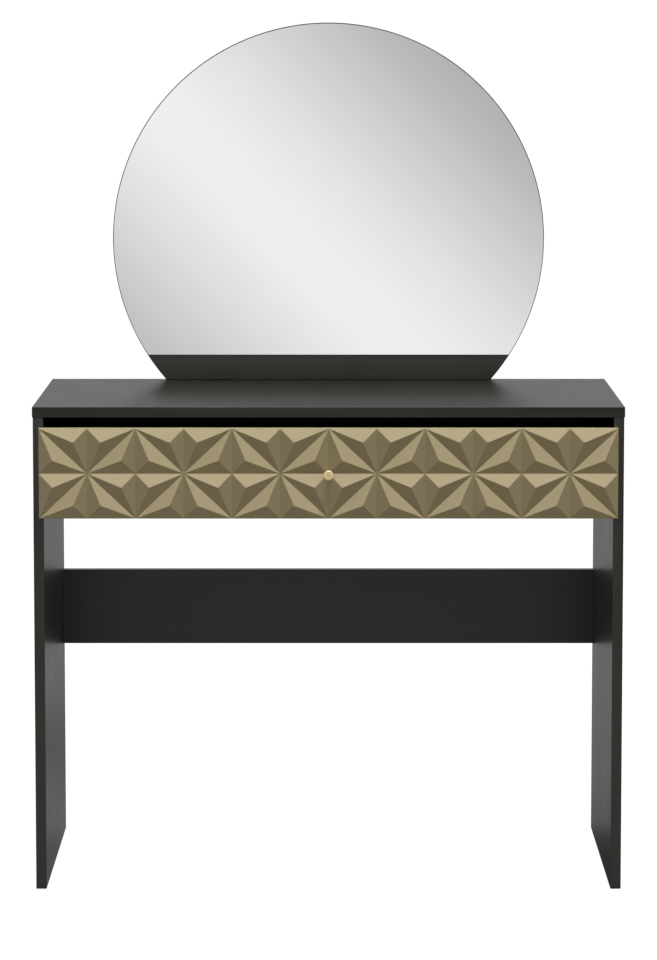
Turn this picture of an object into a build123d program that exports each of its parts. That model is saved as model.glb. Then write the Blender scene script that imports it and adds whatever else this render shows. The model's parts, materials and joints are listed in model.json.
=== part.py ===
from build123d import *
import math
import os

os.makedirs("parts", exist_ok=True)

# Vanity table with a round mirror on the back edge of its top.
# Millimetres, +Z up, +Y to the back, +X to the viewer's right.
# Origin: middle of the whole object's footprint, on the floor.

# ---------------------------------------------------------------- driving dimensions
BOARD = 16.0                 # laminated board thickness
TOP_W = 902.0                # tabletop width
TOP_D = 400.0                # tabletop depth
TOP_Z = 750.0                # height of the working surface
SIDE_W = 900.0               # over the outer faces of the side panels
SIDE_D = 398.0               # depth of the side panels
GLIDE_H = 3.0                # floor glides lift the panels off the floor
EDGE_R = 0.8                 # rounding of the edge bands

RAIL_Z0, RAIL_Z1 = 315.0, 437.0      # lower back rail
UPPER_Z0 = 596.0                     # lower edge of the upper back rail

FRONT_W = 880.0              # drawer front width
FRONT_Z0, FRONT_Z1 = 581.0, 719.0
FRONT_BASE = 14.0            # thickness at the valleys of the relief
RELIEF = 8.0                 # height of the pyramids
CELLS_X, CELLS_Z = 12, 2
BUMPER_GAP = 1.5             # air between drawer front and side panels

MIRROR_R = 350.0             # backing board radius
MIRROR_RISE = 230.0          # circle centre above the tabletop
GLASS_R = 349.0
GLASS_T = 4.0
GLASS_Z0 = 791.0             # straight lower edge of the glass
TAPE_T = 1.0

KNOB_LEN = 22.0              # from the valley plane to the tip
KNOB_R = 7.6

RUN_SPACE = 13.0             # room for one runner between drawer and side panel
RUN_L = 350.0                # runner length
RUN_Z = 645.0                # runner centre line
TRAVEL = 350.0               # full extension

BOX_Z0, BOX_Z1 = 595.0, 695.0        # drawer sides
BOX_D = 350.0                # drawer side length
BOX_T = 16.0
BOTTOM_T = 3.0
BOTTOM_Z = 605.0             # lower edge of the bottom groove

PLATE_T = 2.0                # tie plate thickness
PLATE_HEAD = 1.6             # tie plate screw head height

FIT = 0.05                   # radial room around dowels and fittings

# ---------------------------------------------------------------- derived places
DEPTH_AHEAD = SIDE_D + BUMPER_GAP + FRONT_BASE + KNOB_LEN       # knob tip to back plane
YB = (DEPTH_AHEAD - PLATE_T - PLATE_HEAD) / 2.0                 # back plane of the boards
Y_TOP_F = YB - TOP_D                                            # tabletop front edge
Y_SIDE_F = YB - SIDE_D                                          # side panels' front edge
Y_FRONT_B = Y_SIDE_F - BUMPER_GAP                               # back of the drawer front
Y_VALLEY = Y_FRONT_B - FRONT_BASE                               # valley plane of the relief
Y_APEX = Y_VALLEY - RELIEF
TOP_Z0 = TOP_Z - BOARD
X_OUT = SIDE_W / 2.0
X_IN = X_OUT - BOARD
X_BOX = X_IN - RUN_SPACE                                        # outer face of the drawer sides
X_BOX_IN = X_BOX - BOX_T
MIRROR_Z = TOP_Z + MIRROR_RISE
FRONT_ZC = (FRONT_Z0 + FRONT_Z1) / 2.0

UP, BACK, RIGHT = (0, 0, 1), (0, 1, 0), (1, 0, 0)
DOWN, AHEAD, LEFT = (0, 0, -1), (0, -1, 0), (-1, 0, 0)


def block(x0, x1, y0, y1, z0, z1):
    return Pos((x0 + x1) / 2, (y0 + y1) / 2, (z0 + z1) / 2) * Box(x1 - x0, y1 - y0, z1 - z0)


def rod(p, d, r, length):
    """Cylinder that starts at p and runs along d."""
    return Plane(origin=p, z_dir=d) * Cylinder(r, length, align=(Align.CENTER, Align.CENTER, Align.MIN))


def taper(p, d, r0, r1, length):
    return Plane(origin=p, z_dir=d) * Cone(r0, r1, length, align=(Align.CENTER, Align.CENTER, Align.MIN))


def along(p, d, t):
    return (p[0] + d[0] * t, p[1] + d[1] * t, p[2] + d[2] * t)


def cut(body, tools):
    return body - tools if tools else body


def solids_of(shape):
    return list(shape.solids())


def save(name, *shapes):
    solids = []
    for s in shapes:
        solids += solids_of(s)
    out = solids[0] if len(solids) == 1 else Compound(solids)
    export_step(out, "parts/" + name + ".step")


def eased(body, r=EDGE_R, pick=None):
    edges = body.edges() if pick is None else [e for e in body.edges() if pick(e)]
    return fillet(edges, r)


# ---------------------------------------------------------------- fittings
DOWEL_R = 4.0
CAM_R = 7.4
CAM_H = 12.2
CAM_BORE = 12.6
BOLT_THREAD_R = 2.5
BOLT_THREAD_L = 10.5
BOLT_HOLE_R = 4.0


def dowel(p, d, before, after):
    """Beech dowel across a joint plane through p: 'before' behind it, 'after' past it."""
    start = along(p, d, -before)
    body = rod(start, d, DOWEL_R, before + after)
    return chamfer(body.edges().filter_by(GeomType.CIRCLE), 0.8)


def dowel_hole(p, d, depth):
    return rod(p, d, DOWEL_R + FIT, depth)


def cam_bolt(p, d, reach):
    """Bolt screwed into the board behind p; its head sits in the cam 'reach' ahead."""
    thread = rod(along(p, d, -BOLT_THREAD_L), d, BOLT_THREAD_R - FIT, BOLT_THREAD_L)
    collar = rod(p, d, 3.6, 2.0)
    shank = rod(p, d, 2.6, reach - 3.0)
    head = rod(along(p, d, reach - 3.0), d, 3.3, 4.0)
    return thread + collar + shank + head


def cam_lock(face_pt, inward, toward_bolt):
    """Cam bored into a face at face_pt; the bolt comes from toward_bolt."""
    body = rod(along(face_pt, inward, 0.2), inward, CAM_R, CAM_H)
    centre = along(face_pt, inward, BOARD / 2.0)
    body -= rod(along(centre, toward_bolt, -2.2), toward_bolt, 3.7, CAM_R + 6.0)
    # cross recess for the screwdriver
    pl = Plane(origin=along(face_pt, inward, 0.2), z_dir=inward)
    body -= pl * Pos(0, 0, 1.0) * Box(7.0, 1.4, 2.0)
    body -= pl * Pos(0, 0, 1.0) * Box(1.4, 7.0, 2.0)
    return body


def cam_bore(face_pt, inward):
    return rod(face_pt, inward, CAM_R + FIT, CAM_BORE)


def cover_cap(face_pt, outward):
    """Press-in cover cap, thin domed disc on the face."""
    body = rod(face_pt, outward, 8.6, 0.9)
    rim = body.edges().filter_by(GeomType.CIRCLE).sort_by(
        lambda e: e.center().dot(Vector(*outward)))[-1]
    return fillet(rim, 0.5)


def pan_screw(seat, inward, r, length, head_r, head_h, recess=True):
    """Pan head screw: head outside the seat plane, shank along inward."""
    shank = rod(seat, inward, r, length - 2.0)
    tip = taper(along(seat, inward, length - 2.0), inward, r, 0.4, 2.0)
    outward = (-inward[0], -inward[1], -inward[2])
    head = rod(seat, outward, head_r, head_h)
    top = head.edges().filter_by(GeomType.CIRCLE).sort_by(
        lambda e: e.center().dot(Vector(*outward)))[-1]
    head = fillet(top, min(head_h * 0.6, head_r * 0.4))
    body = head + shank + tip
    if recess:
        pl = Plane(origin=along(seat, outward, head_h), z_dir=outward)
        d = head_h * 0.55
        body -= pl * Pos(0, 0, -d / 2 + 0.05) * Box(head_r * 1.05, head_r * 0.22, d + 0.1)
        body -= pl * Pos(0, 0, -d / 2 + 0.05) * Box(head_r * 0.22, head_r * 1.05, d + 0.1)
    return body


# ---------------------------------------------------------------- joint positions
# tabletop to side panels: cam lock in the inner face of the side panel, bolt from the top
TOP_CAM_Z = 34.0                                   # below the joint plane
TOP_CAM_Y = (Y_SIDE_F + 60.0, YB - 60.0)
TOP_DOWEL_Y = (Y_SIDE_F + 28.0, YB - 28.0)
# rails to side panels: cam lock in the back face of the rail, bolt from the side panel
RAIL_CAM_X = 34.0
RAIL_CAM_Z = ((RAIL_Z0 + RAIL_Z1) / 2.0, (UPPER_Z0 + TOP_Z0) / 2.0)
RAIL_DOWEL_DZ = 40.0
# drawer front to drawer sides
BOX_CAM_Y = 34.0
BOX_CAM_Z = (618.0, 676.0)
BOX_DOWEL_Z = (632.0, 660.0)
# runner screws, from the front end of the runner
RUN_Y0 = Y_SIDE_F + 3.0
CAB_SCREW_S = (37.0, 165.0, 325.0)
BOX_SCREW_S = (30.0, 190.0, 318.0)
GLIDE_Y = (Y_SIDE_F + 40.0, YB - 40.0)
MIRROR_DOWEL_X = (-200.0, 0.0, 200.0)
PLATE_X = (-150.0, 150.0)
PLATE_W = 25.0
PLATE_Z0, PLATE_Z1 = 664.0, 836.0
PLATE_SCREW_Z = (678.0, 712.0, 786.0, 822.0)
PLATE_SCREW_R = 1.75

cams_top, bolts_top, dowels_top = [], [], []
cams_rail, bolts_rail, dowels_rail = [], [], []
caps = []

# ---------------------------------------------------------------- side panels and tabletop
table_top = eased(block(-TOP_W / 2, TOP_W / 2, Y_TOP_F, YB, TOP_Z0, TOP_Z))
top_holes = []
side_holes = {-1: [], 1: []}
upper_holes, lower_holes = [], []

for s in (-1, 1):
    mid_x = s * (X_IN + BOARD / 2.0)
    inner_x = s * X_IN
    outward = RIGHT if s > 0 else LEFT          # from the knee space into the panel
    inward = LEFT if s > 0 else RIGHT
    for y in TOP_CAM_Y:
        joint = (mid_x, y, TOP_Z0)
        face = (inner_x, y, TOP_Z0 - TOP_CAM_Z)
        bolts_top.append(cam_bolt(joint, DOWN, TOP_CAM_Z))
        cams_top.append(cam_lock(face, outward, UP))
        caps.append(cover_cap(face, inward))
        side_holes[s].append(cam_bore(face, outward))
        side_holes[s].append(rod((mid_x, y, TOP_Z0 - TOP_CAM_Z), UP, BOLT_HOLE_R, TOP_CAM_Z + 1.0))
        top_holes.append(rod(joint, UP, BOLT_THREAD_R, BOLT_THREAD_L + 0.5))
    for y in TOP_DOWEL_Y:
        joint = (mid_x, y, TOP_Z0)
        dowels_top.append(dowel(joint, UP, 18.0, 10.5))
        side_holes[s].append(dowel_hole(joint, DOWN, 19.0))
        top_holes.append(dowel_hole(joint, UP, 11.5))
    for z, holes in ((RAIL_CAM_Z[0], lower_holes), (RAIL_CAM_Z[1], upper_holes)):
        joint = (inner_x, YB - BOARD / 2.0, z)
        face = (s * (X_IN - RAIL_CAM_X), YB, z)
        bolts_rail.append(cam_bolt(joint, inward, RAIL_CAM_X))
        cams_rail.append(cam_lock(face, AHEAD, outward))
        caps.append(cover_cap(face, BACK))
        holes.append(cam_bore(face, AHEAD))
        holes.append(rod((face[0], YB - BOARD / 2.0, z), outward, BOLT_HOLE_R, RAIL_CAM_X + 1.0))
        side_holes[s].append(rod(joint, outward, BOLT_THREAD_R, BOLT_THREAD_L + 0.5))
        for dz in (-RAIL_DOWEL_DZ, RAIL_DOWEL_DZ):
            p = (inner_x, YB - BOARD / 2.0, z + dz)
            dowels_rail.append(dowel(p, outward, 18.0, 10.5))
            side_holes[s].append(dowel_hole(p, outward, 11.5))
            holes.append(dowel_hole(p, inward, 19.0))
    # runner screws and glide nails
    for t in CAB_SCREW_S:
        side_holes[s].append(rod((inner_x, RUN_Y0 + t, RUN_Z), outward, 1.8, 13.0))
    for y in GLIDE_Y:
        side_holes[s].append(rod((mid_x, y, GLIDE_H), UP, 1.1, 16.0))

for x in MIRROR_DOWEL_X:
    top_holes.append(dowel_hole((x, YB - BOARD / 2.0, TOP_Z), DOWN, 11.5))

save("table_top", cut(table_top, top_holes))
for s, name in ((-1, "left_side_panel"), (1, "right_side_panel")):
    x0, x1 = sorted((s * X_IN, s * X_OUT))
    panel = eased(block(x0, x1, Y_SIDE_F, YB, GLIDE_H, TOP_Z0), EDGE_R,
                  lambda e: e.bounding_box().size.Z > 100 or e.center().Z < GLIDE_H + 1)
    save(name, cut(panel, side_holes[s]))

# ---------------------------------------------------------------- back rails
long_edge = lambda e: e.bounding_box().size.X > 400
upper_rail = eased(block(-X_IN, X_IN, YB - BOARD, YB, UPPER_Z0, TOP_Z0), EDGE_R,
                   lambda e: long_edge(e) and e.center().Z < UPPER_Z0 + 1)
lower_rail = eased(block(-X_IN, X_IN, YB - BOARD, YB, RAIL_Z0, RAIL_Z1), EDGE_R, long_edge)
for x in PLATE_X:
    for z in PLATE_SCREW_Z[:2]:
        upper_holes.append(rod((x, YB, z), AHEAD, PLATE_SCREW_R + FIT, 14.0))
save("upper_back_rail", cut(upper_rail, upper_holes))
save("lower_back_rail", cut(lower_rail, lower_holes))

# ---------------------------------------------------------------- mirror
def disc(radius, cut_z, y0, y1):
    """Round plate centred on the mirror axis, cut off straight at cut_z."""
    half = MIRROR_Z - cut_z
    body = rod((0, y1, MIRROR_Z), AHEAD, radius, y1 - y0)
    return body - block(-radius - 5, radius + 5, y0 - 5, y1 + 5, MIRROR_Z - radius - 5, MIRROR_Z - half)


board = disc(MIRROR_R, TOP_Z, YB - BOARD, YB)
board = fillet([e for e in board.edges() if e.center().Z > TOP_Z + 5 and e.geom_type == GeomType.CIRCLE], EDGE_R)
board_holes, dowels_mirror = [], []
for x in MIRROR_DOWEL_X:
    p = (x, YB - BOARD / 2.0, TOP_Z)
    dowels_mirror.append(dowel(p, UP, 10.5, 18.0))
    board_holes.append(dowel_hole(p, UP, 19.0))
for x in PLATE_X:
    for z in PLATE_SCREW_Z[2:]:
        board_holes.append(rod((x, YB, z), AHEAD, PLATE_SCREW_R + FIT, 14.0))
save("mirror_backing_board", cut(board, board_holes))
save("mirror_dowels", *dowels_mirror)

Y_GLASS_B = YB - BOARD - TAPE_T
glass = disc(GLASS_R, GLASS_Z0, Y_GLASS_B - GLASS_T, Y_GLASS_B)
glass = chamfer([e for e in glass.edges() if e.center().Y < Y_GLASS_B - GLASS_T + 0.1], 0.7)
save("mirror_glass", glass)

tapes = []
for z, w in ((840.0, 460.0), (930.0, 520.0), (1020.0, 520.0), (1110.0, 500.0), (1200.0, 420.0)):
    tapes.append(block(-w / 2, w / 2, YB - BOARD - TAPE_T, YB - BOARD, z - 12.5, z + 12.5))
save("mirror_mounting_tapes", *tapes)

plates, plate_screws = [], []
for x in PLATE_X:
    plate = block(x - PLATE_W / 2, x + PLATE_W / 2, YB, YB + PLATE_T, PLATE_Z0, PLATE_Z1)
    plate = fillet([e for e in plate.edges() if abs(e.bounding_box().size.Y - PLATE_T) < 0.1], 6.0)
    for z in PLATE_SCREW_Z:
        plate -= rod((x, YB - 1, z), BACK, 2.1, PLATE_T + 2)
        plate_screws.append(pan_screw((x, YB + PLATE_T, z), AHEAD, PLATE_SCREW_R, 15.0, 3.6, PLATE_HEAD))
    plates.append(plate)
save("mirror_tie_plates", *plates)
save("tie_plate_screws", *plate_screws)

# ---------------------------------------------------------------- frame fittings
save("top_cam_locks", *cams_top)
save("top_cam_bolts", *bolts_top)
save("top_dowels", *dowels_top)
save("rail_cam_locks", *cams_rail)
save("rail_cam_bolts", *bolts_rail)
save("rail_dowels", *dowels_rail)
save("cam_cover_caps", *caps)

glides, nails = [], []
for s in (-1, 1):
    for y in GLIDE_Y:
        x = s * (X_IN + BOARD / 2.0)
        pad = rod((x, y, 0), UP, 7.2, GLIDE_H)
        pad = fillet(pad.edges().filter_by(GeomType.CIRCLE).sort_by(Axis.Z)[0], 0.8)
        pad -= rod((x, y, 0.8), UP, 2.6, 1.05)
        pad -= rod((x, y, 1.8), UP, 1.1, 3.0)
        glides.append(pad)
        nails.append(rod((x, y, 0.85), UP, 2.5, 0.95) + rod((x, y, 1.7), UP, 1.05, 13.0)
                     + taper((x, y, 14.7), UP, 1.05, 0.2, 2.5))
save("floor_glides", *glides)
save("glide_nails", *nails)

# ---------------------------------------------------------------- drawer runners
# Section measured from the side panel's inner face (u) and from the runner's centre line (v).
SHEET = 1.2


def channel(s, u0, u1, web, half, sheet, y0, y1, bend=1.5):
    """Formed sheet channel: web at u0..u0+sheet (web=-1) or at the u1 end (web=+1)."""
    w = u1 - u0
    with BuildSketch(Plane.XY) as sk:
        Rectangle(w, 2 * half)
        fillet([v for v in sk.vertices() if v.X * web > 0], bend)
        with Locations((-web * sheet, 0)):
            Rectangle(w, 2 * (half - sheet), mode=Mode.SUBTRACT)
    body = extrude(sk.sketch, y1 - y0)
    # sketch x -> u toward the knee space, sketch y -> z, extrusion -> +Y
    u_dir = LEFT if s > 0 else RIGHT
    pl = Plane(origin=(0, 0, 0), x_dir=u_dir, z_dir=BACK) if s < 0 else Plane(
        origin=(0, 0, 0), x_dir=u_dir, z_dir=BACK)
    x_mid = s * (X_IN - (u0 + u1) / 2.0)
    return Pos(x_mid, y0, RUN_Z) * (pl * body)


CAB_U = (0.0, 10.4)          # cabinet member
CAB_HALF = 22.5
MID_U = (4.2, 10.8)          # middle member
MID_HALF = 18.1
BOX_U = (7.0, RUN_SPACE)     # drawer member
BOX_HALF = 13.7
BALL_R = 1.55
ROW_A_V, ROW_A_U = 19.7, 7.4
ROW_B_V, ROW_B_U = 15.3, 9.0
CAGE_T = 0.5
CAGE_L = 160.0
BALLS = 6

RUN_Y1 = RUN_Y0 + RUN_L
CAGE_Y0 = RUN_Y0 + (RUN_L - CAGE_L) / 2.0
CAGE_Y1 = CAGE_Y0 + CAGE_L
cab_screws, box_run_screws = [], []
balls_a, balls_b = [], []


def cage(s, u0, u1, v, ball_u):
    body = channel(s, u0, u1, -1, v + CAGE_T / 2, CAGE_T, CAGE_Y0, CAGE_Y1, 0.45)
    balls = []
    pitch = CAGE_L / BALLS
    x = s * (X_IN - ball_u)
    for k in range(BALLS):
        y = CAGE_Y0 + pitch * (k + 0.5)
        for sv in (-1, 1):
            z = RUN_Z + sv * v
            body -= rod((x, y, z - 2.0), UP, BALL_R + 0.06, 4.0)
            balls.append(Pos(x, y, z) * Sphere(BALL_R))
    return body, balls


for s, side in ((-1, "left"), (1, "right")):
    outward = RIGHT if s > 0 else LEFT
    inward = LEFT if s > 0 else RIGHT
    cab = channel(s, CAB_U[0], CAB_U[1], -1, CAB_HALF, SHEET, RUN_Y0, RUN_Y1)
    for t in CAB_SCREW_S:
        p = (s * (X_IN - SHEET), RUN_Y0 + t, RUN_Z)
        cab -= rod((s * (X_IN + 1), RUN_Y0 + t, RUN_Z), inward, 2.1, SHEET + 2)
        cab_screws.append(pan_screw(p, outward, 1.75, 13.0, 3.6, 1.8))
    # access windows that let the screws be reached are slots in the middle member
    mid = channel(s, MID_U[0], MID_U[1], -1, MID_HALF, SHEET, RUN_Y0, RUN_Y1)
    for t in CAB_SCREW_S:
        mid -= rod((s * (X_IN - MID_U[0] + 1), RUN_Y0 + t, RUN_Z), inward, 4.5, SHEET + 2)
    box_m = channel(s, BOX_U[0], BOX_U[1], 1, BOX_HALF, SHEET, RUN_Y0, RUN_Y1)
    for t in BOX_SCREW_S:
        p = (s * (X_BOX + SHEET), RUN_Y0 + t, RUN_Z)
        box_m -= rod((s * (X_BOX - 1), RUN_Y0 + t, RUN_Z), outward, 2.1, SHEET + 2)
        box_run_screws.append(pan_screw(p, inward, 1.75, 13.0, 3.6, 1.8))
    save(side + "_runner_cabinet_member", cab)
    save(side + "_runner_middle_member", mid)
    save(side + "_runner_drawer_member", box_m)
    outer, balls = cage(s, 3.4, 10.0, ROW_A_V, ROW_A_U)
    save(side + "_outer_ball_cage", outer)
    balls_a += balls
    inner, balls = cage(s, 5.8, 11.2, ROW_B_V, ROW_B_U)
    save(side + "_inner_ball_cage", inner)
    balls_b += balls

save("runner_cabinet_screws", *cab_screws)
save("runner_drawer_screws", *box_run_screws)
save("outer_runner_balls", *balls_a)
save("inner_runner_balls", *balls_b)

# ---------------------------------------------------------------- drawer front with relief
CW = FRONT_W / CELLS_X
CH = (FRONT_Z1 - FRONT_Z0) / CELLS_Z


def grid(i, j):
    return (-FRONT_W / 2 + CW * i, Y_VALLEY, FRONT_Z0 + CH * j)


def face_of(points):
    return Face(Wire.make_polygon([Vector(*p) for p in points], close=True))


inradius = (CW + CH - math.hypot(CW, CH)) / 2.0
faces = []
for i in range(CELLS_X):
    for j in range(CELLS_Z):
        corners = {(a, b): grid(i + a, j + b) for a in (0, 1) for b in (0, 1)}
        even = (i + j) % 2 == 0
        # the diagonal joins the two corners where eight triangles meet
        d0, d1 = ((0, 0), (1, 1)) if even else ((1, 0), (0, 1))
        for c in ([k for k in corners if k not in (d0, d1)]):
            right = corners[c]
            sx = 1 if c[0] == 0 else -1
            sz = 1 if c[1] == 0 else -1
            apex = (right[0] + sx * inradius, Y_APEX, right[2] + sz * inradius)
            tri = [right, corners[d0], corners[d1]]
            for k in range(3):
                faces.append(face_of([tri[k], tri[(k + 1) % 3], apex]))

xl, xr, zb, zt = -FRONT_W / 2, FRONT_W / 2, FRONT_Z0, FRONT_Z1
faces.append(face_of([(xl, Y_FRONT_B, zb), (xr, Y_FRONT_B, zb), (xr, Y_FRONT_B, zt), (xl, Y_FRONT_B, zt)]))
faces.append(face_of([grid(i, 0) for i in range(CELLS_X + 1)] + [(xr, Y_FRONT_B, zb), (xl, Y_FRONT_B, zb)]))
faces.append(face_of([grid(i, CELLS_Z) for i in range(CELLS_X + 1)] + [(xr, Y_FRONT_B, zt), (xl, Y_FRONT_B, zt)]))
faces.append(face_of([grid(0, j) for j in range(CELLS_Z + 1)] + [(xl, Y_FRONT_B, zt), (xl, Y_FRONT_B, zb)]))
faces.append(face_of([grid(CELLS_X, j) for j in range(CELLS_Z + 1)] + [(xr, Y_FRONT_B, zt), (xr, Y_FRONT_B, zb)]))
front = Solid(Shell(faces))

front_holes = [
    rod((0, Y_VALLEY, FRONT_ZC), AHEAD, 5.4, RELIEF + 2),                  # flat seat for the knob
    rod((0, Y_FRONT_B + 1, FRONT_ZC), AHEAD, 2.2, FRONT_BASE + 5),         # knob screw
    block(-X_BOX_IN - 6.0, X_BOX_IN + 6.0, Y_FRONT_B - 6.0, Y_FRONT_B + 1.0,
          BOTTOM_Z, BOTTOM_Z + BOTTOM_T + 0.2),                            # groove for the bottom
]

# ---------------------------------------------------------------- drawer box
Y_BOX_B = Y_FRONT_B + BOX_D
Y_BACK_F = Y_BOX_B - BOX_T
cams_box, bolts_box, dowels_box, caps_box, back_screws = [], [], [], [], []
box_holes = {-1: [], 1: []}
back_holes = []
for s in (-1, 1):
    outward = RIGHT if s > 0 else LEFT
    inward = LEFT if s > 0 else RIGHT
    mid_x = s * (X_BOX - BOX_T / 2.0)
    for z in BOX_CAM_Z:
        joint = (mid_x, Y_FRONT_B, z)
        face = (s * X_BOX, Y_FRONT_B + BOX_CAM_Y, z)
        bolts_box.append(cam_bolt(joint, BACK, BOX_CAM_Y))
        cams_box.append(cam_lock(face, inward, AHEAD))
        caps_box.append(cover_cap(face, outward))
        box_holes[s].append(cam_bore(face, inward))
        box_holes[s].append(rod((mid_x, Y_FRONT_B - 1.0, z), BACK, BOLT_HOLE_R, BOX_CAM_Y + 1.0))
        front_holes.append(rod((mid_x, Y_FRONT_B + 1.0, z), AHEAD, BOLT_THREAD_R, BOLT_THREAD_L + 1.5))
    for z in BOX_DOWEL_Z:
        p = (mid_x, Y_FRONT_B, z)
        dowels_box.append(dowel(p, BACK, 10.0, 18.0))
        box_holes[s].append(dowel_hole(p, BACK, 19.0))
        front_holes.append(dowel_hole((mid_x, Y_FRONT_B + 1.0, z), AHEAD, 12.0))
    for t in BOX_SCREW_S:
        box_holes[s].append(rod((s * X_BOX, RUN_Y0 + t, RUN_Z), inward, 1.8, 13.0))
    # countersunk screws through the drawer side into the drawer back
    for z in (622.0, 680.0):
        p = (s * X_BOX, Y_BACK_F + BOX_T / 2.0, z)
        head = taper(along(p, inward, 0.2), inward, 4.0, 2.0, 2.6)
        shank = rod(along(p, inward, 2.7), inward, 2.0, 35.0)
        tip = taper(along(p, inward, 37.7), inward, 2.0, 0.4, 3.0)
        pl = Plane(origin=along(p, inward, 0.2), z_dir=inward)
        screw = head + shank + tip
        screw -= pl * Pos(0, 0, 0.9) * Box(4.0, 0.8, 1.8)
        screw -= pl * Pos(0, 0, 0.9) * Box(0.8, 4.0, 1.8)
        back_screws.append(screw)
        box_holes[s].append(taper(p, inward, 4.25, 2.05, 2.85))
        box_holes[s].append(rod(p, inward, 2.0 + FIT, BOX_T + 1.0))
        back_holes.append(rod((s * X_BOX_IN, p[1], z), inward, 2.0 + FIT, 26.0))

save("drawer_front", cut(front, front_holes))
for s, name in ((-1, "drawer_left_side"), (1, "drawer_right_side")):
    x0, x1 = sorted((s * X_BOX_IN, s * X_BOX))
    side = block(x0, x1, Y_FRONT_B, Y_BOX_B, BOX_Z0, BOX_Z1)
    side = eased(side, EDGE_R, lambda e: e.bounding_box().size.Y > 100)
    g0, g1 = sorted((s * (X_BOX_IN - 1.0), s * (X_BOX_IN + 6.0)))
    box_holes[s].append(block(g0, g1, Y_FRONT_B - 1, Y_BOX_B + 1, BOTTOM_Z, BOTTOM_Z + BOTTOM_T + 0.2))
    save(name, cut(side, box_holes[s]))

BACK_Z0 = BOTTOM_Z + BOTTOM_T + 0.1
back = block(-X_BOX_IN, X_BOX_IN, Y_BACK_F, Y_BOX_B, BACK_Z0, BOX_Z1)
back = eased(back, EDGE_R, lambda e: long_edge(e) and e.center().Z > BOX_Z1 - 1)
bottom_screws, bottom_holes = [], []
for x in (-300.0, -100.0, 100.0, 300.0):
    p = (x, Y_BACK_F + BOX_T / 2.0, BOTTOM_Z + 0.1)
    bottom_screws.append(pan_screw(p, UP, 1.5, 16.0, 3.2, 1.5))
    bottom_holes.append(rod((x, p[1], BOTTOM_Z - 1), UP, 1.5 + FIT, 6.0))
    back_holes.append(rod((x, p[1], BACK_Z0 - 1), UP, 1.5 + FIT, 14.5))
save("drawer_back", cut(back, back_holes))
bottom = block(-X_BOX_IN - 5.7, X_BOX_IN + 5.7, Y_FRONT_B - 5.7, Y_BOX_B, BOTTOM_Z + 0.1, BOTTOM_Z + 0.1 + BOTTOM_T)
save("drawer_bottom", cut(bottom, bottom_holes))
save("drawer_cam_locks", *cams_box)
save("drawer_cam_bolts", *bolts_box)
save("drawer_dowels", *dowels_box)
save("drawer_cam_caps", *caps_box)
save("drawer_back_screws", *back_screws)
save("drawer_bottom_screws", *bottom_screws)

# ---------------------------------------------------------------- knob
# turned brass pull: (distance ahead of the valley plane, radius)
with BuildPart() as knob_part:
    with BuildSketch(Plane.YZ):
        with BuildLine():
            l1 = Polyline((0, 0), (0, 5.0), (1.3, 5.0), (2.2, 3.7), (9.5, 3.6))
            l2 = ThreePointArc((9.5, 3.6), (12.2, 4.7), (13.4, 6.9))
            l3 = Polyline((13.4, 6.9), (14.3, KNOB_R), (20.6, KNOB_R), (KNOB_LEN, 6.7), (KNOB_LEN, 5.9),
                          (21.3, 5.2), (21.3, 0), (0, 0))
        make_face()
    revolve(axis=Axis.Y)
knob = Pos(0, Y_VALLEY, FRONT_ZC) * (Rot(0, 0, 180) * knob_part.part)
knob -= rod((0, Y_VALLEY + 1, FRONT_ZC), AHEAD, 2.0, 12.0)
save("drawer_knob", knob)

screw_shank = rod((0, Y_FRONT_B, FRONT_ZC), AHEAD, 1.95, FRONT_BASE + 9.5)
screw_head = rod((0, Y_FRONT_B, FRONT_ZC), BACK, 3.9, 2.6)
screw_head = fillet(screw_head.edges().filter_by(GeomType.CIRCLE).sort_by(Axis.Y)[-1], 1.4)
knob_screw = screw_shank + screw_head
knob_screw -= block(-2.4, 2.4, Y_FRONT_B + 1.2, Y_FRONT_B + 3, FRONT_ZC - 0.45, FRONT_ZC + 0.45)
knob_screw -= block(-0.45, 0.45, Y_FRONT_B + 1.2, Y_FRONT_B + 3, FRONT_ZC - 2.4, FRONT_ZC + 2.4)
save("knob_screw", knob_screw)

# ---------------------------------------------------------------- bumpers behind the front
bumpers = []
for s in (-1, 1):
    for z in (FRONT_Z0 + 10.0, FRONT_Z1 - 10.0):
        pad = rod((s * (X_IN + 3.0), Y_FRONT_B, z), BACK, 2.6, BUMPER_GAP - 0.1)
        pad = fillet(pad.edges().filter_by(GeomType.CIRCLE).sort_by(Axis.Y)[-1], 0.5)
        bumpers.append(pad)
save("drawer_bumpers", *bumpers)
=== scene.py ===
import bmesh
import bpy
import json
import math
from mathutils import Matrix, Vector


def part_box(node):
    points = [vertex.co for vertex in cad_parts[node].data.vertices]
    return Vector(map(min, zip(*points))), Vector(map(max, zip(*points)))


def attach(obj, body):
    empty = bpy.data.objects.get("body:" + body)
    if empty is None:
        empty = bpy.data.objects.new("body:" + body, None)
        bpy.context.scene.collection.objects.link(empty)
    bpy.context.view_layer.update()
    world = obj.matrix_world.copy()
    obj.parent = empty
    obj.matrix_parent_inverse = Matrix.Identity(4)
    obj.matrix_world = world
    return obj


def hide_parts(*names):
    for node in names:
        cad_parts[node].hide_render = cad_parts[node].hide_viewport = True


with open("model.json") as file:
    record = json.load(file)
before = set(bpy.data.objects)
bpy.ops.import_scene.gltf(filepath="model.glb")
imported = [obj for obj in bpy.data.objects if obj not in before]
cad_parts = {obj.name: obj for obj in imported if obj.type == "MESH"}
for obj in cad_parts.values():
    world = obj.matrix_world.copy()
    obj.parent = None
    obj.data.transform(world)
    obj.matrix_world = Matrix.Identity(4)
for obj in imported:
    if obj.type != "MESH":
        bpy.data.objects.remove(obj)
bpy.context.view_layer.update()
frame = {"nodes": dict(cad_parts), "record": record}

NODES = frame["nodes"]
MM = 0.001

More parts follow.
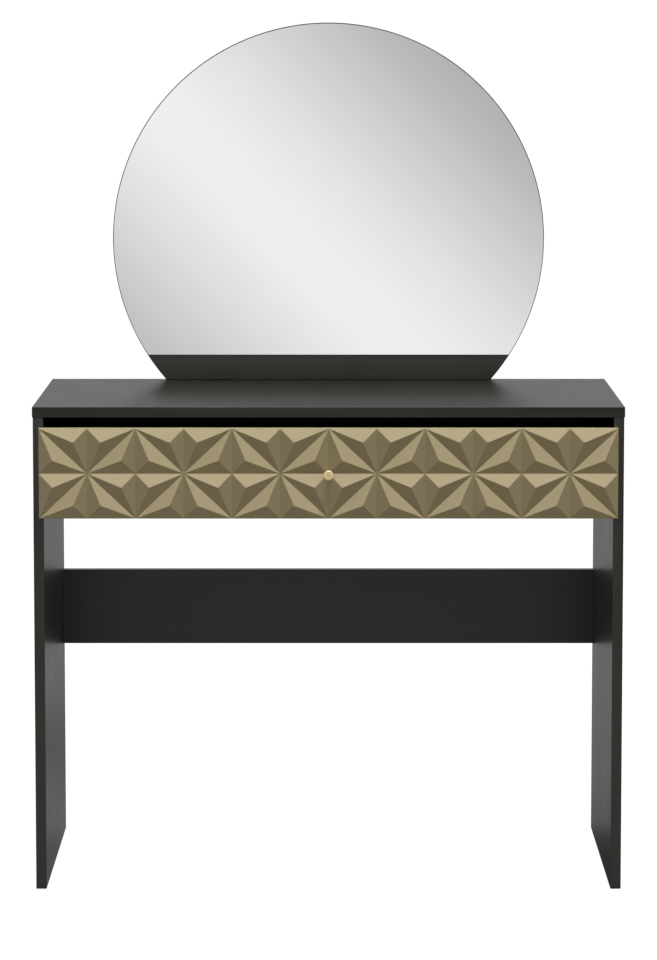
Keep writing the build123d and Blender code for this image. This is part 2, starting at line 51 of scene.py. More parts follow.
# studio levels
WORLD_FRONT = (0.03, 0.0, 0.15)    # below, level, above
WORLD_BACK = (0.425, 0.85)          # level, above
KEY_POWER = 47.0
FACE_SUN = 3.62
FACE_SHEEN = (1.32, 1.46)           # left, right
FACE_FILL = (0.74, 0.86)            # left, right
KNOB_LAMPS = (0.75, 1.5, 0.9)       # above, each side, below
FILL_POWER = 20.0
EDGE_FILL_POWER = 26.0
OUTER_FILL_POWER = 60.0
FLOOR_LEVELS = (0.45, 0.62, 0.25, 0.40)   # glow of the floor the gloss sees, with painted shade at the legs: far ahead, ahead, at the legs, behind


# ------------------------------------------------------------------ node helpers
class Mat:
    """A procedural material with short helpers for its node tree."""

    def __init__(self, name):
        self.m = bpy.data.materials.new(name)
        self.m.use_nodes = True
        self.t = self.m.node_tree
        self.p = self.t.nodes["Principled BSDF"]
        self.tc = self.t.nodes.new("ShaderNodeTexCoord")

    def set(self, **kw):
        for k, v in kw.items():
            self.p.inputs[k.replace("_", " ")].default_value = v
        return self

    def link(self, a, b):
        self.t.links.new(a, b)

    def mapped(self, scale=(1, 1, 1), rot=(0, 0, 0)):
        n = self.t.nodes.new("ShaderNodeMapping")
        n.inputs["Scale"].default_value = scale
        n.inputs["Rotation"].default_value = rot
        self.link(self.tc.outputs["Object"], n.inputs["Vector"])
        return n.outputs["Vector"]

    def noise(self, vec, scale, detail=2.0, rough=0.5, distortion=0.0):
        n = self.t.nodes.new("ShaderNodeTexNoise")
        n.inputs["Scale"].default_value = scale
        n.inputs["Detail"].default_value = detail
        n.inputs["Roughness"].default_value = rough
        n.inputs["Distortion"].default_value = distortion
        self.link(vec, n.inputs["Vector"])
        return n.outputs["Fac"]

    def voronoi(self, vec, scale, feature="F1"):
        n = self.t.nodes.new("ShaderNodeTexVoronoi")
        n.feature = feature
        n.inputs["Scale"].default_value = scale
        self.link(vec, n.inputs["Vector"])
        return n.outputs["Distance"]

    def ramp(self, fac, stops):
        n = self.t.nodes.new("ShaderNodeValToRGB")
        el = n.color_ramp.elements
        while len(el) < len(stops):
            el.new(0.5)
        for e, (pos, col) in zip(el, stops):
            e.position = pos
            e.color = (*col, 1.0) if len(col) == 3 else col
        self.link(fac, n.inputs["Fac"])
        return n.outputs["Color"]

    def remap(self, fac, lo, hi, f0=0.0, f1=1.0):
        n = self.t.nodes.new("ShaderNodeMapRange")
        n.inputs["From Min"].default_value = f0
        n.inputs["From Max"].default_value = f1
        n.inputs["To Min"].default_value = lo
        n.inputs["To Max"].default_value = hi
        self.link(fac, n.inputs["Value"])
        return n.outputs["Result"]

    def math(self, op, a, b):
        n = self.t.nodes.new("ShaderNodeMath")
        n.operation = op
        for sock, v in zip(n.inputs, (a, b)):
            if isinstance(v, (int, float)):
                sock.default_value = v
            else:
                self.link(v, sock)
        return n.outputs[0]

    def mix(self, fac, a, b, mode="MIX"):
        n = self.t.nodes.new("ShaderNodeMix")
        n.data_type = "RGBA"
        n.blend_type = mode
        for sock, v in ((n.inputs[0], fac), (n.inputs[6], a), (n.inputs[7], b)):
            if isinstance(v, (int, float)):
                sock.default_value = v
            elif isinstance(v, tuple):
                sock.default_value = (*v, 1.0)
            else:
                self.link(v, sock)
        return n.outputs[2]

    def bump(self, height, strength, distance):
        n = self.t.nodes.new("ShaderNodeBump")
        n.inputs["Strength"].default_value = strength
        n.inputs["Distance"].default_value = distance
        self.link(height, n.inputs["Height"])
        self.link(n.outputs["Normal"], self.p.inputs["Normal"])
        return n

    def colour(self, sock):
        self.link(sock, self.p.inputs["Base Color"])

    def roughness(self, sock):
        self.link(sock, self.p.inputs["Roughness"])


def laminate(name, dark, light, rough=(0.36, 0.46), spec=0.5):
    """Melamine faced board: dense colour, fine pearl texture, faint cloudiness."""
    m = Mat(name)
    m.set(Specular_IOR_Level=spec)
    v = m.mapped()
    cloud = m.noise(v, 9.0, 3.0, 0.55)
    speck = m.noise(v, 1500.0, 2.0, 0.6)
    tone = m.ramp(m.math("ADD", m.math("MULTIPLY", cloud, 0.55), m.math("MULTIPLY", speck, 0.45)),
                  [(0.36, dark), (0.62, light)])
    m.colour(tone)
    pearl = m.noise(v, 950.0, 3.0, 0.62)
    m.roughness(m.remap(m.math("ADD", m.math("MULTIPLY", pearl, 0.6), m.math("MULTIPLY", cloud, 0.4)),
                        rough[0], rough[1], 0.3, 0.7))
    m.bump(pearl, 0.10, 0.00012)
    return m.m


def lacquer(name, dark, light, spec=0.5, metallic=0.0):
    """Satin olive gold lacquer, drawn out in faint horizontal streaks, with a fine orange peel."""
    m = Mat(name)
    m.set(Specular_IOR_Level=spec, Metallic=metallic)
    streak = m.noise(m.mapped((6.0, 6.0, 420.0)), 1.0, 4.0, 0.6)
    fine = m.noise(m.mapped((40.0, 40.0, 1500.0)), 1.0, 2.0, 0.55)
    flake = m.noise(m.mapped(), 2600.0, 1.0, 0.5)
    tone = m.math("ADD", m.math("MULTIPLY", streak, 0.5),
                  m.math("ADD", m.math("MULTIPLY", fine, 0.3), m.math("MULTIPLY", flake, 0.2)))
    m.colour(m.ramp(tone, [(0.30, dark), (0.70, light)]))
    m.roughness(m.remap(tone, 0.41, 0.51, 0.3, 0.7))
    peel = m.noise(m.mapped(), 620.0, 2.0, 0.5)
    m.bump(m.math("ADD", peel, m.math("MULTIPLY", fine, 0.5)), 0.08, 0.00010)
    return m.m


def metal(name, lo, hi, rough, scale=(1, 1, 1), fine=900.0, metallic=1.0, bump=0.06):
    m = Mat(name)
    m.set(Metallic=metallic)
    a = m.noise(m.mapped(scale), fine, 3.0, 0.55)
    b = m.noise(m.mapped(), 60.0, 3.0, 0.5)
    t = m.math("ADD", m.math("MULTIPLY", a, 0.6), m.math("MULTIPLY", b, 0.4))
    m.colour(m.ramp(t, [(0.32, lo), (0.68, hi)]))
    m.roughness(m.remap(t, rough[0], rough[1], 0.3, 0.7))
    m.bump(a, bump, 0.00008)
    return m.m


def plastic(name, lo, hi, rough, fine=1800.0, bump=0.08):
    m = Mat(name)
    a = m.noise(m.mapped(), fine, 2.0, 0.6)
    b = m.noise(m.mapped(), 45.0, 2.0, 0.5)
    m.colour(m.ramp(m.math("ADD", m.math("MULTIPLY", a, 0.5), m.math("MULTIPLY", b, 0.5)), [(0.35, lo), (0.65, hi)]))
    m.roughness(m.remap(a, rough[0], rough[1], 0.3, 0.7))
    m.bump(a, bump, 0.00008)
    return m.m


def mirror_face():
    """Silvered float glass: near perfect, with the faintest wipe marks in its gloss."""
    m = Mat("mirror_silver")
    m.set(Metallic=1.0)
    wipe = m.noise(m.mapped((3.0, 3.0, 1.0), (0, 0.6, 0)), 5.0, 3.0, 0.5)
    m.colour(m.ramp(wipe, [(0.3, (0.918, 0.918, 0.918)), (0.7, (0.927, 0.927, 0.927))]))
    m.roughness(m.remap(wipe, 0.006, 0.016, 0.3, 0.7))
    return m.m


def glass_edge():
    m = Mat("mirror_ground_edge")
    m.set(Specular_IOR_Level=0.6)
    a = m.noise(m.mapped(), 900.0, 2.0, 0.5)
    m.colour(m.ramp(a, [(0.3, (0.075, 0.090, 0.085)), (0.7, (0.105, 0.125, 0.118))]))
    m.roughness(m.remap(a, 0.18, 0.32, 0.3, 0.7))
    return m.m


def beech():
    m = Mat("beech_dowel")
    grain = m.noise(m.mapped((900.0, 900.0, 60.0)), 1.0, 3.0, 0.55)
    m.colour(m.ramp(grain, [(0.3, (0.40, 0.25, 0.13)), (0.7, (0.60, 0.42, 0.24))]))
    m.roughness(m.remap(grain, 0.5, 0.65, 0.3, 0.7))
    m.bump(grain, 0.12, 0.0001)
    return m.m


M = {
    "dark_laminate": laminate("dark_laminate", (0.0165, 0.0158, 0.0102), (0.0218, 0.0210, 0.0140), (0.25, 0.33)),
    "gold_lacquer": lacquer("gold_lacquer", (0.336, 0.264, 0.121), (0.382, 0.303, 0.146), 0.5, 0.04),
    "gold_lacquer_edge": lacquer("gold_lacquer_edge", (0.336, 0.264, 0.121), (0.382, 0.303, 0.146), 0.0),
    # darker copy of the gold for the drawer front's top faces: painted shade where the overhead lamp falls strongest
    "gold_lacquer_top_painted_shade": lacquer("gold_lacquer_top_painted_shade", (0.240, 0.202, 0.126), (0.272, 0.230, 0.146), 0.0),
    "drawer_board": laminate("drawer_board", (0.026, 0.026, 0.0245), (0.034, 0.034, 0.032), (0.42, 0.52)),
    "drawer_bottom_board": laminate("drawer_bottom_board", (0.040, 0.040, 0.038), (0.052, 0.052, 0.050), (0.40, 0.52)),
    "mirror": mirror_face(),
    "mirror_edge": glass_edge(),
    "foam_tape": plastic("foam_tape", (0.012, 0.012, 0.012), (0.03, 0.03, 0.03), (0.75, 0.9), 1400.0, 0.25),
    "beech": beech(),
    "zinc_steel": metal("zinc_steel", (0.46, 0.46, 0.45), (0.62, 0.62, 0.60), (0.28, 0.42)),
    "runner_steel": metal("runner_steel", (0.50, 0.51, 0.52), (0.62, 0.63, 0.64), (0.24, 0.36), (600.0, 8.0, 600.0), 1.0),
    "cage_steel": metal("cage_steel", (0.40, 0.40, 0.39), (0.50, 0.50, 0.49), (0.30, 0.42)),
    "ball_steel": metal("ball_steel", (0.68, 0.68, 0.69), (0.76, 0.76, 0.77), (0.05, 0.10)),
    "brass": metal("brass", (0.67, 0.545, 0.285), (0.80, 0.67, 0.39), (0.28, 0.38), (1, 1, 1), 700.0),
    "black_plastic": plastic("black_plastic", (0.016, 0.016, 0.016), (0.024, 0.024, 0.024), (0.40, 0.52)),
    "clear_bumper": plastic("clear_bumper", (0.55, 0.55, 0.53), (0.66, 0.66, 0.64), (0.30, 0.42)),
}

for sub in frame["record"]["subparts"]:
    o = NODES[sub["node"]]
    o.data.materials.clear()
    o.data.materials.append(M[sub["material_slot"]])


# ------------------------------------------------------------------ mesh helpers
def finish_mesh(bm, name, mats, angle=32.0, smooth=True):
    bmesh.ops.recalc_face_normals(bm, faces=bm.faces[:])
    me = bpy.data.meshes.new(name)
    bm.to_mesh(me)
    bm.free()
    for m in mats:
        me.materials.append(m)
    if smooth:
        me.shade_smooth()
        me.set_sharp_from_angle(angle=math.radians(angle))
    o = bpy.data.objects.new(name, me)
    bpy.context.scene.collection.objects.link(o)
    return o


def place(o, body, slot, *nodes):
    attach(o, body)
    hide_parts(*nodes)
    return o


def loft(bm, loops, cap=True):
    """Quads between closed loops of equal length; the first and last are capped."""
    rings = [[bm.verts.new(p) for p in loop] for loop in loops]
    n = len(rings[0])
    for a, b in zip(rings, rings[1:]):
        for k in range(n):
            bm.faces.new((a[k], a[(k + 1) % n], b[(k + 1) % n], b[k]))
    if cap:
        bm.faces.new(rings[0])
        bm.faces.new(rings[-1])
    return rings


def edge_profile(t, r=0.8 * MM, steps=4):
    """(inset, height) pairs over a banded board edge: face, glue line, eased band, and back again."""
    top = [(2.2 * MM, t / 2), (1.30 * MM, t / 2), (1.19 * MM, t / 2 - 0.11 * MM), (1.08 * MM, t / 2)]
    arc = []
    for k in range(steps + 1):
        a = math.radians(90.0 * k / steps)
        arc.append((r * (1 - math.sin(a)), t / 2 - r * (1 - math.cos(a))))
    half = top + arc
    return half + [(i, -h) for i, h in reversed(half)]


def rounded_rect(a, b, r, seg=4):
    pts = []
    for cx, cy, s in ((a - r, b - r, 0), (-a + r, b - r, 90), (-a + r, -b + r, 180), (a - r, -b + r, 270)):
        for k in range(seg + 1):
            w = math.radians(s + 90.0 * k / seg)
            pts.append((cx + r * math.cos(w), cy + r * math.sin(w)))
    return pts


def board(name, node, body, slot, axis, corner=1.0 * MM):
    """A banded board in the CAD board's box, thickness along axis."""
    lo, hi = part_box(node)
    mid, half = (lo + hi) / 2, (hi - lo) / 2
    u, v = [k for k in range(3) if k != axis]
    loops = []
    for inset, h in edge_profile(2 * half[axis]):
        r = max(corner - inset, 0.05 * MM)
        loop = []
        for p, q in rounded_rect(half[u] - inset, half[v] - inset, r):
            c = [0, 0, 0]
            c[u], c[v], c[axis] = mid[u] + p, mid[v] + q, mid[axis] + h
            loop.append(c)
        loops.append(loop)
    bm = bmesh.new()
    loft(bm, loops)
    return place(finish_mesh(bm, name, [M[slot]]), body, slot, node)


def rail(name, node, body, slot):
    """A board between the sides: banded along its long edges, cut square where it butts against them."""
    lo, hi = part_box(node)
    y, z, half = (lo.y + hi.y) / 2, (lo.z + hi.z) / 2, (hi.z - lo.z) / 2
    edge = edge_profile(hi.y - lo.y)
    section = [(y + h, z + half - i) for i, h in edge] + [(y + h, z - half + i) for i, h in reversed(edge)]
    bm = bmesh.new()
    loft(bm, [[(x, *p) for p in section] for x in (lo.x, hi.x)])
    return place(finish_mesh(bm, name, [M[slot]]), body, slot, node)


top_board = board("table_top_board", "table_top", "frame", "dark_laminate", 2)
left_side = board("left_side_board", "left_side_panel", "frame", "dark_laminate", 0)
right_side = board("right_side_board", "right_side_panel", "frame", "dark_laminate", 0)
upper_rail = rail("upper_rail_board", "upper_back_rail", "frame", "dark_laminate")
lower_rail = rail("lower_rail_board", "lower_back_rail", "frame", "dark_laminate")

# ------------------------------------------------------------------ round mirror
MIRROR_Z, MIRROR_R, TOP_Z = 0.980, 0.3499, 0.750      # a hair under the CAD disc, so it stays in its mesh's box


def cut_disc(radius, chord_z, inset, n=384):
    """Outline of a disc cut off straight at chord_z, moved in by inset."""
    r = radius - inset
    zc = chord_z + inset - MIRROR_Z
    a0 = math.asin(max(-1.0, zc / r))
    a1 = math.pi - a0
    pts = [(r * math.cos(a0 + (a1 - a0) * k / n), r * math.sin(a0 + (a1 - a0) * k / n)) for k in range(n + 1)]
    half = r * math.cos(a0)
    chord = [(-half + 2 * half * k / 24, zc) for k in range(1, 24)]
    return pts + chord


lo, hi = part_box("mirror_backing_board")
y_mid, t = (lo.y + hi.y) / 2, hi.y - lo.y
bm = bmesh.new()
loft(bm, [[(x, y_mid - h, MIRROR_Z + z) for x, z in cut_disc(MIRROR_R, TOP_Z, i)] for i, h in edge_profile(t)])
mirror_back = place(finish_mesh(bm, "mirror_board", [M["dark_laminate"]]), "frame", "dark_laminate", "mirror_backing_board")

lo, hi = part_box("mirror_glass")
y0, y1 = lo.y, hi.y
prof = [(3.0 * MM, y0), (0.75 * MM, y0), (0.70 * MM, y0 + 0.02 * MM), (0.06 * MM, y0 + 0.66 * MM), (0.0, y0 + 0.78 * MM),
        (0.0, y1 - 0.45 * MM), (0.08 * MM, y1 - 0.3 * MM), (0.35 * MM, y1), (3.0 * MM, y1)]
bm = bmesh.new()
rings = loft(bm, [[(x, y, MIRROR_Z + z) for x, z in cut_disc(0.349, 0.791, i)] for i, y in prof])
bm.faces.ensure_lookup_table()
for f in bm.faces:
    ys = [v.co.y for v in f.verts]
    f.material_index = 0 if max(ys) - min(ys) < 0.001 * MM else 1
place(finish_mesh(bm, "mirror_pane", [M["mirror"], M["mirror_edge"]], 20.0), "frame", "mirror", "mirror_glass")

# ------------------------------------------------------------------ drawer front, raised triangles
lo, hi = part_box("drawer_front")
NX, NZ = 12, 2
CW, CH = (hi.x - lo.x) / NX, (hi.z - lo.z) / NZ
Y_BACK, Y_APEX = hi.y, lo.y
Y_VALLEY = Y_APEX + 8.0 * MM
inr = (CW + CH - math.hypot(CW, CH)) / 2

bm = bmesh.new()
grid = {(i, j): bm.verts.new((lo.x + CW * i, Y_VALLEY, lo.z + CH * j)) for i in range(NX + 1) for j in range(NZ + 1)}
for i in range(NX):
    for j in range(NZ):
        c = {(a, b): grid[i + a, j + b] for a in (0, 1) for b in (0, 1)}
        d0, d1 = ((0, 0), (1, 1)) if (i + j) % 2 == 0 else ((1, 0), (0, 1))
        for k in [k for k in c if k not in (d0, d1)]:
            right = c[k]
            apex = bm.verts.new((right.co.x + inr * (1 if k[0] == 0 else -1), Y_APEX,
                                 right.co.z + inr * (1 if k[1] == 0 else -1)))
            tri = [right, c[d0], c[d1]]
            for n in range(3):
                bm.faces.new((tri[n], tri[(n + 1) % 3], apex))
back = {(i, j): bm.verts.new((lo.x + CW * i, Y_BACK, lo.z + CH * j)) for i in (0, NX) for j in (0, NZ)}
bm.faces.new([back[0, 0], back[NX, 0], back[NX, NZ], back[0, NZ]])
bm.faces.new([grid[i, 0] for i in range(NX + 1)] + [back[NX, 0], back[0, 0]])
bm.faces.new([grid[i, NZ] for i in range(NX + 1)] + [back[NX, NZ], back[0, NZ]])
bm.faces.new([grid[0, j] for j in range(NZ + 1)] + [back[0, NZ], back[0, 0]])
bm.faces.new([grid[NX, j] for j in range(NZ + 1)] + [back[NX, NZ], back[NX, 0]])
bmesh.ops.recalc_face_normals(bm, faces=bm.faces[:])
bmesh.ops.bevel(bm, geom=bm.edges[:], offset=0.45 * MM, offset_type="OFFSET", segments=2, profile=0.5,
                affect="EDGES", clamp_overlap=True)
bm.normal_update()
for f in bm.faces:
    f.material_index = 0 if f.normal.y < -0.3 else 2 if f.normal.z > 0.7 else 1     # edges and back: a thin matt coat; the top faces get a darker copy, painted shade against the lamp overhead
relief = place(finish_mesh(bm, "drawer_front_relief", [M[k] for k in ("gold_lacquer", "gold_lacquer_edge", "gold_lacquer_top_painted_shade")], 14.0),
               "drawer", "gold_lacquer", "drawer_front")
for f in relief.data.polygons:
    f.use_smooth = f.area < 1e-4        # the facets are flat, only their eased edges are round

# ------------------------------------------------------------------ knob
lo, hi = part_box("drawer_knob")
kx, kz, y_base = (lo.x + hi.x) / 2, (lo.z + hi.z) / 2, hi.y


def arc(cx, cy, r, a0, a1, n):
    return [(cx + r * math.cos(math.radians(a0 + (a1 - a0) * k / n)),
             cy + r * math.sin(math.radians(a0 + (a1 - a0) * k / n))) for k in range(n + 1)]


# (ahead of the seat, radius) in mm
prof = [(0.0, 4.9), (0.9, 5.0)] + arc(0.95, 4.75, 0.25, 90, 20, 3) + [(2.2, 3.75), (3.0, 3.62), (9.0, 3.6)]
prof += [(10.6, 3.85), (11.9, 4.6), (12.9, 5.9), (13.5, 6.9)] + arc(14.3, 6.8, 0.8, 170, 90, 4)
prof += [(17.0, 7.6)] + arc(19.6, 5.2, 2.4, 90, -4, 14) + [(21.86, 4.75), (21.72, 4.3), (21.62, 3.7), (21.58, 2.5), (21.56, 1.0)]
bm = bmesh.new()
SEG = 96
rings = []
for d, r in prof:
    rings.append([bm.verts.new((kx + r * MM * math.cos(2 * math.pi * k / SEG), y_base - d * MM,
                                kz + r * MM * math.sin(2 * math.pi * k / SEG))) for k in range(SEG)])
for a, b in zip(rings, rings[1:]):
    for k in range(SEG):
        bm.faces.new((a[k], a[(k + 1) % SEG], b[(k + 1) % SEG], b[k]))
bm.faces.new(rings[0])
bm.faces.new(rings[-1])
knob = place(finish_mesh(bm, "turned_knob", [M["brass"]], 40.0), "drawer", "brass", "drawer_knob")


# ------------------------------------------------------------------ stage
def wmap(sock, f0, f1, t0, t1):
    n = nt.nodes.new("ShaderNodeMapRange")
    n.interpolation_type = "SMOOTHSTEP"
    for k, v in (("From Min", f0), ("From Max", f1), ("To Min", t0), ("To Max", t1)):
        n.inputs[k].default_value = v
    nt.links.new(sock, n.inputs["Value"])
    return n.outputs["Result"]


def wmath(op, a, b):
    n = nt.nodes.new("ShaderNodeMath")
    n.operation = op
    for sock, v in zip(n.inputs, (a, b)):
        if isinstance(v, (int, float)):
            sock.default_value = v
        else:
            nt.links.new(v, sock)
    return n.outputs[0]


def stage_mat(name, glow, albedo):
    """White paper: part of its brightness is even, the rest takes the lamps and the soft shadows."""
    m = bpy.data.materials.new(name)
    m.use_nodes = True
    nt = m.node_tree
    nt.nodes.clear()
    out = nt.nodes.new("ShaderNodeOutputMaterial")
    add = nt.nodes.new("ShaderNodeAddShader")
    em = nt.nodes.new("ShaderNodeEmission")
    df = nt.nodes.new("ShaderNodeBsdfDiffuse")
    em.inputs["Color"].default_value = (1, 1, 1, 1)
    em.inputs["Strength"].default_value = glow
    df.inputs["Color"].default_value = (albedo, albedo, albedo, 1)
    nt.links.new(em.outputs[0], add.inputs[0])
    nt.links.new(df.outputs[0], add.inputs[1])
    nt.links.new(add.outputs[0], out.inputs["Surface"])
    return m


def sheet(name, pts, mat, camera=False, glossy=False, faces=None):
    me = bpy.data.meshes.new(name)
    me.from_pydata(pts, [], faces or [tuple(range(len(pts)))])
    me.materials.append(mat)
    o = bpy.data.objects.new(name, me)
    bpy.context.scene.collection.objects.link(o)
    o.visible_camera, o.visible_glossy = camera, glossy
    o.visible_diffuse = o.visible_transmission = o.visible_volume_scatter = o.visible_shadow = False
    return o


def square(r, z):
    return [(-r, -r, z), (r, -r, z), (r, r, z), (-r, r, z)]


sheet("floor", square(40, 0.0), stage_mat("floor_white", 0.96, 0.20), camera=True)

# what glossy faces see of the floor: a glowing sheet, even like paper, with painted shade between the legs
refl_m = bpy.data.materials.new("floor_in_reflections")
refl_m.use_nodes = True
nt = refl_m.node_tree
nt.nodes.clear()
out = nt.nodes.new("ShaderNodeOutputMaterial")
em = nt.nodes.new("ShaderNodeEmission")
tc = nt.nodes.new("ShaderNodeTexCoord")
sep = nt.nodes.new("ShaderNodeSeparateXYZ")
nt.links.new(tc.outputs["Object"], sep.inputs["Vector"])
level = wmap(sep.outputs["Y"], -3.4, -1.5, FLOOR_LEVELS[0], FLOOR_LEVELS[1])
level = wmath("ADD", level, wmap(sep.outputs["Y"], -0.3, 0.12, 0.0, FLOOR_LEVELS[2] - FLOOR_LEVELS[1]))
level = wmath("ADD", level, wmap(sep.outputs["Y"], 0.15, 1.6, 0.0, FLOOR_LEVELS[3] - FLOOR_LEVELS[2]))


def steps(start, *ramps):
    """start, then rising or falling by each (from, to, change) along Y"""
    total = None
    for y0, y1, change in ramps:
        ramp = wmap(sep.outputs["Y"], y0, y1, start if total is None else 0.0, start + change if total is None else change)
        total = ramp if total is None else wmath("ADD", total, ramp)
    return total


# painted shade on the floor between the legs, deeper beside the right one
left_shade = steps(0.200, (0.08, 0.28, 0.100), (0.36, 0.85, -0.073), (0.86, 1.70, 0.158))
right_shade = steps(0.058, (0.03, 0.15, 0.034), (0.15, 0.30, 0.158), (0.30, 0.70, 0.066), (0.70, 1.80, 0.050))
to_right = wmap(sep.outputs["X"], -0.25, 0.25, 0.0, 1.0)
shade = wmath("ADD", left_shade, wmath("MULTIPLY", to_right, wmath("SUBTRACT", right_shade, left_shade)))
between = wmath("MULTIPLY", wmap(wmath("ABSOLUTE", sep.outputs["X"], 0.0), 0.45, 0.60, 1.0, 0.0), wmap(sep.outputs["Y"], -0.205, -0.175, 0.0, 1.0))
level = wmath("ADD", level, wmath("MULTIPLY", between, wmath("SUBTRACT", shade, level)))
nt.links.new(level, em.inputs["Strength"])
nt.links.new(em.outputs[0], out.inputs["Surface"])
sheet("floor_in_reflections", square(40, -0.0004), refl_m, glossy=True)

# white paper all round, far away
dome = bmesh.new()
bmesh.ops.create_uvsphere(dome, u_segments=48, v_segments=24, radius=38.0)
dome_me = bpy.data.meshes.new("backdrop")
dome.to_mesh(dome_me)
dome.free()
dome_me.materials.append(stage_mat("backdrop_white", 1.05, 0.0))
backdrop = bpy.data.objects.new("backdrop", dome_me)
bpy.context.scene.collection.objects.link(backdrop)
backdrop.visible_diffuse = backdrop.visible_glossy = backdrop.visible_transmission = False
backdrop.visible_volume_scatter = backdrop.visible_shadow = False

# card far in front: its soft slanting band is what the mirror shows
card_m = bpy.data.materials.new("front_card")
card_m.use_nodes = True
nt = card_m.node_tree
nt.nodes.clear()
out = nt.nodes.new("ShaderNodeOutputMaterial")
em = nt.nodes.new("ShaderNodeEmission")
tc = nt.nodes.new("ShaderNodeTexCoord")
mp = nt.nodes.new("ShaderNodeMapping")
sep = nt.nodes.new("ShaderNodeSeparateXYZ")
rp = nt.nodes.new("ShaderNodeValToRGB")
mr = nt.nodes.new("ShaderNodeMapRange")
mp.inputs["Rotation"].default_value = (0, math.radians(-45), 0)
nt.links.new(tc.outputs["Object"], mp.inputs["Vector"])
nt.links.new(mp.outputs["Vector"], sep.inputs["Vector"])
mr.inputs["From Min"].default_value = -2.0 / math.sqrt(2)
mr.inputs["From Max"].default_value = 2.0 / math.sqrt(2)
nt.links.new(sep.outputs["Z"], mr.inputs["Value"])
nt.links.new(mr.outputs["Result"], rp.inputs["Fac"])
stops = [(-1.4, 0.40), (-0.55, 0.585), (-0.10, 0.79), (0.25, 0.93), (0.45, 0.925), (0.75, 0.84), (1.45, 0.53), (2.0, 0.36)]
el = rp.color_ramp.elements
while len(el) < len(stops):
    el.new(0.5)
for e, (pos, val) in zip(el, stops):
    e.position = (pos + 2.0) / 4.0
    e.color = (val, val, val, 1)
nt.links.new(rp.outputs["Color"], em.inputs["Color"])
nt.links.new(em.outputs["Emission"], out.inputs["Surface"])
card = sheet("front_card", [(-2.6, 0, 0.01), (2.6, 0, 0.01), (2.6, 0, 2.6), (-2.6, 0, 2.6)], card_m, glossy=True)
card.location = (0, -7.0, 0.0)

world = bpy.data.worlds.new("studio")
bpy.context.scene.world = world
world.use_nodes = True
nt = world.node_tree
nt.nodes.clear()
out = nt.nodes.new("ShaderNodeOutputWorld")
bg = nt.nodes.new("ShaderNodeBackground")
tc = nt.nodes.new("ShaderNodeTexCoord")
sep = nt.nodes.new("ShaderNodeSeparateXYZ")
nt.links.new(tc.outputs["Generated"], sep.inputs["Vector"])


low = wmap(sep.outputs["Z"], -0.30, -0.10, WORLD_FRONT[0], WORLD_FRONT[1])
front = wmath("ADD", low, wmap(sep.outputs["Z"], 0.10, 0.30, 0.0, WORLD_FRONT[2] - WORLD_FRONT[1]))
back = wmap(sep.outputs["Z"], 0.15, 0.7, WORLD_BACK[0], WORLD_BACK[1])
t = wmap(sep.outputs["Y"], -0.25, 0.25, 0.0, 1.0)
level = wmath("ADD", wmath("MULTIPLY", front, wmath("SUBTRACT", 1.0, t)), wmath("MULTIPLY", back, t))
nt.links.new(level, bg.inputs["Strength"])
bg.inputs["Color"].default_value = (1, 1, 1, 1)
nt.links.new(bg.outputs["Background"], out.inputs["Surface"])


def area(name, loc, target, sx, sy, power, spread=180.0):
    d = bpy.data.lights.new(name, "AREA")
    d.shape = "RECTANGLE"
    d.size, d.size_y = sx, sy
    d.energy = power
    d.spread = math.radians(spread)
    o = bpy.data.objects.new(name, d)
    o.location = loc
    o.rotation_euler = (Vector(target) - Vector(loc)).to_track_quat("-Z", "Y").to_euler()
    bpy.context.scene.collection.objects.link(o)
    return o


def far_lamp(name, towards, strength, angle):
    d = bpy.data.lights.new(name, "SUN")
    d.energy = strength
    d.angle = math.radians(angle)
    o = bpy.data.objects.new(name, d)
    o.rotation_euler = (-Vector(towards)).to_track_quat("-Z", "Y").to_euler()
    bpy.context.scene.collection.objects.link(o)
    return o


def group(name, *objects):
    c = bpy.data.collections.new(name)
    for o in objects:
        c.objects.link(o)
    return c


def link_only(lamp, name, *objects):
    lamp.light_linking.receiver_collection = group(name, *objects)


key = area("key_softbox", (0.3, -1.5, 3.2), (0.3, -0.2, 0.7), 2.6, 0.9, KEY_POWER)
others = group("all_but_drawer_face", relief)
others.collection_objects[0].light_linking.link_state = "EXCLUDE"
key.light_linking.receiver_collection = others

# the drawer front has its own even light: a soft lamp far overhead, a sheen from above each shoulder, and a fill from each side
face, over = group("drawer_face", relief), group("over_drawer_face", top_board, knob)
for lamp, gloss, matt in (
        (far_lamp("face_top_lamp", (0.06, -0.10, 0.993), FACE_SUN, 20.0), True, True),
        (far_lamp("face_left_sheen", (-0.30, -0.80, 0.52), FACE_SHEEN[0], 36.0), True, False),
        (far_lamp("face_right_sheen", (0.30, -0.80, 0.52), FACE_SHEEN[1], 36.0), True, False),
        (far_lamp("face_left_fill", (-0.90, -0.436, 0.0), FACE_FILL[0], 40.0), False, True),
        (far_lamp("face_right_fill", (0.90, -0.436, 0.0), FACE_FILL[1], 40.0), False, True)):
    lamp.visible_glossy, lamp.visible_diffuse = gloss, matt
    lamp.light_linking.receiver_collection = face
    lamp.light_linking.blocker_collection = over

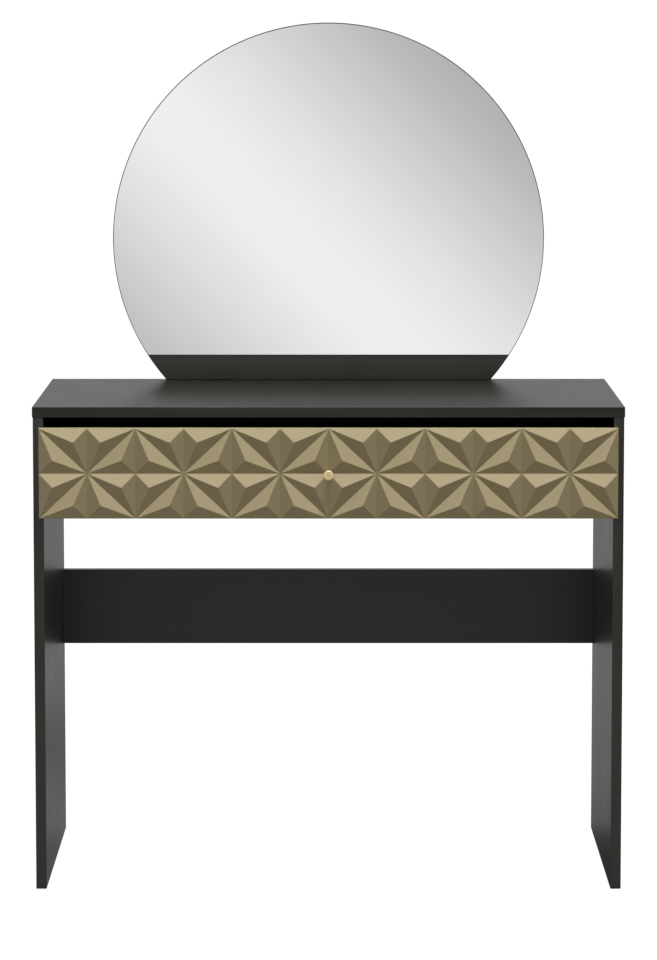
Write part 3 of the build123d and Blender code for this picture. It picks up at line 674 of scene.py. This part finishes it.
# the knob's rim catches a lamp above, one at each side and one below
for name, towards, strength in (("knob_top_lamp", (0.05, -0.62, 0.78), KNOB_LAMPS[0]), ("knob_left_lamp", (-0.85, -0.50, 0.15), KNOB_LAMPS[1]),
                                ("knob_right_lamp", (0.85, -0.50, 0.15), KNOB_LAMPS[1]), ("knob_low_lamp", (0.0, -0.70, -0.71), KNOB_LAMPS[2])):
    link_only(far_lamp(name, towards, strength, 60.0), name + "_receiver", knob)

# soft fill from the front for the mirror's foot, and a weaker one for the board edges
fill = area("fill_lamp", (0.0, -4.0, 1.5), (0.0, 0.0, 1.5), 3.0, 2.2, FILL_POWER)
link_only(fill, "mirror_foot", mirror_back)
edge_fill = area("edge_fill_lamp", (0.0, -3.2, 2.2), (0.0, 0.0, 0.4), 3.0, 1.6, EDGE_FILL_POWER)
link_only(edge_fill, "side_boards", left_side, right_side)

# softboxes at the sides and behind, so the outer faces keep their shape in every view
for name, loc, aim in (("left_fill_lamp", (-4.0, 0.3, 1.7), (0.0, 0.3, 0.9)), ("right_fill_lamp", (4.0, 0.3, 1.7), (0.0, 0.3, 0.9))):
    link_only(area(name, loc, aim, 2.4, 2.2, OUTER_FILL_POWER), name + "_faces", left_side, right_side, mirror_back, upper_rail, lower_rail)
back_fill = area("back_fill_lamp", (0.9, 4.2, 1.7), (0.0, 0.2, 0.9), 2.4, 2.2, OUTER_FILL_POWER)
back_fill.visible_glossy = False
link_only(back_fill, "back_faces", mirror_back, upper_rail, lower_rail)

# ------------------------------------------------------------------ camera
cam_d = bpy.data.cameras.new("camera")
cam = bpy.data.objects.new("camera", cam_d)
bpy.context.scene.collection.objects.link(cam)
cam.location = (0.0, -5.4198, 1.3636)
cam.rotation_euler = (math.radians(90.0 - 5.350), 0, 0)
cam_d.sensor_width = 36.0
cam_d.lens = 130.070
cam_d.shift_y = -0.16
cam_d.clip_start, cam_d.clip_end = 0.1, 100.0
bpy.context.scene.camera = cam

bpy.context.scene.view_settings.view_transform = "Standard"
